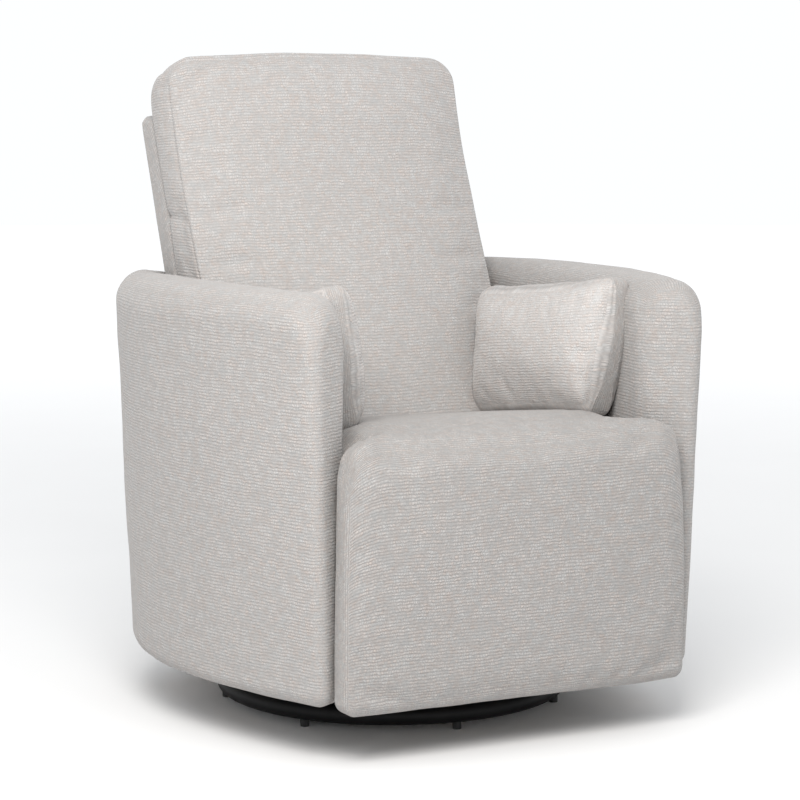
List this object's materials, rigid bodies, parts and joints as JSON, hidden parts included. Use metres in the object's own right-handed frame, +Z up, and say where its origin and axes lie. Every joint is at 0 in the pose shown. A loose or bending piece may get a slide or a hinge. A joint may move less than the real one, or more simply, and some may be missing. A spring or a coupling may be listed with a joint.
{
  "type": "swivel glider recliner chair",
  "caption": "Upholstered nursery armchair with a barrel shell, waterfall footrest panel, tall reclining back and loose arm pillows on a round swivel glider base.",
  "frame": {"origin": "the point of the floor under the swivel axis, which is also the middle of the chair seen from above", "axes": "+X towards the sitter's left-hand arm as seen from the front on the viewer's right, -Y out of the front of the seat, +Z up"},
  "size_m": [0.8496, 0.8556, 1.01],
  "materials": {
    "chenille_fabric": "pale warm grey-cream chenille with fine horizontal ribs, soft nap, slight flecks",
    "black_metal": "black powder coat, satin",
    "zinc_steel": "zinc plated steel, satin",
    "frame_wood": "planed pine, raw",
    "plywood": "raw plywood",
    "roller_nylon": "natural nylon",
    "rubber_foot": "black rubber, matt"
  },
  "bodies": {
    "base": {"base_ring": "black_metal", "base_feet": "rubber_foot", "base_spider": "black_metal", "swivel_stud": "zinc_steel", "swivel_lower_race": "zinc_steel", "swivel_balls": "zinc_steel", "swivel_nut": "zinc_steel"},
    "turntable": {"swivel_upper_race": "zinc_steel", "turntable_plate": "black_metal", "glider_post_left": "black_metal", "glider_post_right": "black_metal", "glider_hanger_pins": "zinc_steel"},
    "front_links": {"glider_links_front": "black_metal"},
    "rear_links": {"glider_links_rear": "black_metal"},
    "carriage": {"carriage_rail_left": "black_metal", "carriage_rail_right": "black_metal", "carriage_pins": "zinc_steel", "carriage_tube_front": "black_metal", "carriage_tube_rear": "black_metal", "arm_frame_left": "frame_wood", "arm_frame_right": "frame_wood", "arm_straps": "black_metal", "rear_cross_rail": "frame_wood", "arm_left": "chenille_fabric", "arm_right": "chenille_fabric", "shell_rear": "chenille_fabric"},
    "seat": {"mechanism_plate_left": "black_metal", "mechanism_plate_right": "black_metal", "mechanism_bolts": "zinc_steel", "seat_rollers": "roller_nylon", "seat_rail_left": "frame_wood", "seat_rail_right": "frame_wood", "seat_rail_front": "frame_wood", "seat_rail_rear": "frame_wood", "seat_springs": "zinc_steel", "seat_cushion": "chenille_fabric", "footrest_pivot_pins": "zinc_steel", "recline_pivot_pins": "zinc_steel", "arm_pillow_left": "chenille_fabric", "arm_pillow_right": "chenille_fabric"},
    "back": {"back_brackets": "black_metal", "back_post_left": "frame_wood", "back_post_right": "frame_wood", "back_rail_lower": "frame_wood", "back_rail_upper": "frame_wood", "back_outer_panel": "chenille_fabric", "back_cushion": "chenille_fabric", "drive_tail_pins": "zinc_steel"},
    "drive_rods": {"drive_rod_left": "black_metal", "drive_rod_right": "black_metal"},
    "footrest_rear_levers": {"footrest_rear_lever_left": "black_metal", "footrest_rear_lever_right": "black_metal", "footrest_knee_pins": "zinc_steel", "drive_lug_pins": "zinc_steel"},
    "footrest_front_levers": {"footrest_front_lever_left": "black_metal", "footrest_front_lever_right": "black_metal"},
    "footrest": {"footrest_board": "plywood", "footrest_brackets": "black_metal", "footrest_shaft": "black_metal", "footrest_pad": "chenille_fabric"}
  },
  "joints": [
    {"name": "swivel", "type": "hinge", "parent": "base", "child": "turntable", "pos_m": [0, 0, 0], "axis": [0, 0, 1], "continuous": true},
    {"name": "glide", "type": "hinge", "parent": "turntable", "child": "front_links", "pos_m": [0, -0.11, 0.235], "axis": [1, 0, 0], "range_deg": [-20, 20]},
    {"name": "glide_rear", "type": "hinge", "parent": "turntable", "child": "rear_links", "pos_m": [0, 0.11, 0.235], "axis": [1, 0, 0], "range_deg": [-20.1, 20.1]},
    {"name": "glide_level", "type": "hinge", "parent": "front_links", "child": "carriage", "pos_m": [0, -0.11, 0.105], "axis": [1, 0, 0], "range_deg": [-20.1, 20.1]},
    {"name": "seat_slide", "type": "slide", "parent": "carriage", "child": "seat", "axis": [0, -1, 0], "range_m": [0, 0.14]},
    {"name": "recline", "type": "hinge", "parent": "seat", "child": "back", "pos_m": [0, 0.1, 0.345], "axis": [-1, 0, 0], "range_deg": [0, 18.1]},
    {"name": "rod_slide", "type": "slide", "parent": "seat", "child": "drive_rods", "axis": [0, -1, 0], "range_m": [0, 0.0282]},
    {"name": "footrest_swing", "type": "hinge", "parent": "seat", "child": "footrest_rear_levers", "pos_m": [0, -0.165, 0.305], "axis": [-1, 0, 0], "range_deg": [0, 95.3]},
    {"name": "footrest_knee", "type": "hinge", "parent": "footrest_rear_levers", "child": "footrest_front_levers", "pos_m": [0, -0.145, 0.1], "axis": [-1, 0, 0], "range_deg": [-121.4, 0]},
    {"name": "footrest_tilt", "type": "hinge", "parent": "footrest_front_levers", "child": "footrest", "pos_m": [0, -0.345, 0.245], "axis": [-1, 0, 0], "range_deg": [0, 111.3]}
  ],
  "couplings": [
    {"joint": "glide_rear", "follows": "glide", "ratio": 1},
    {"joint": "glide_level", "follows": "glide", "ratio": -1},
    {"joint": "recline", "follows": "seat_slide", "rad_per_m": 2.244},
    {"joint": "rod_slide", "follows": "seat_slide", "ratio": 0.19865},
    {"joint": "footrest_swing", "follows": "seat_slide", "rad_per_m": 11.843},
    {"joint": "footrest_knee", "follows": "seat_slide", "rad_per_m": -15.085},
    {"joint": "footrest_tilt", "follows": "seat_slide", "rad_per_m": 13.838}
  ]
}
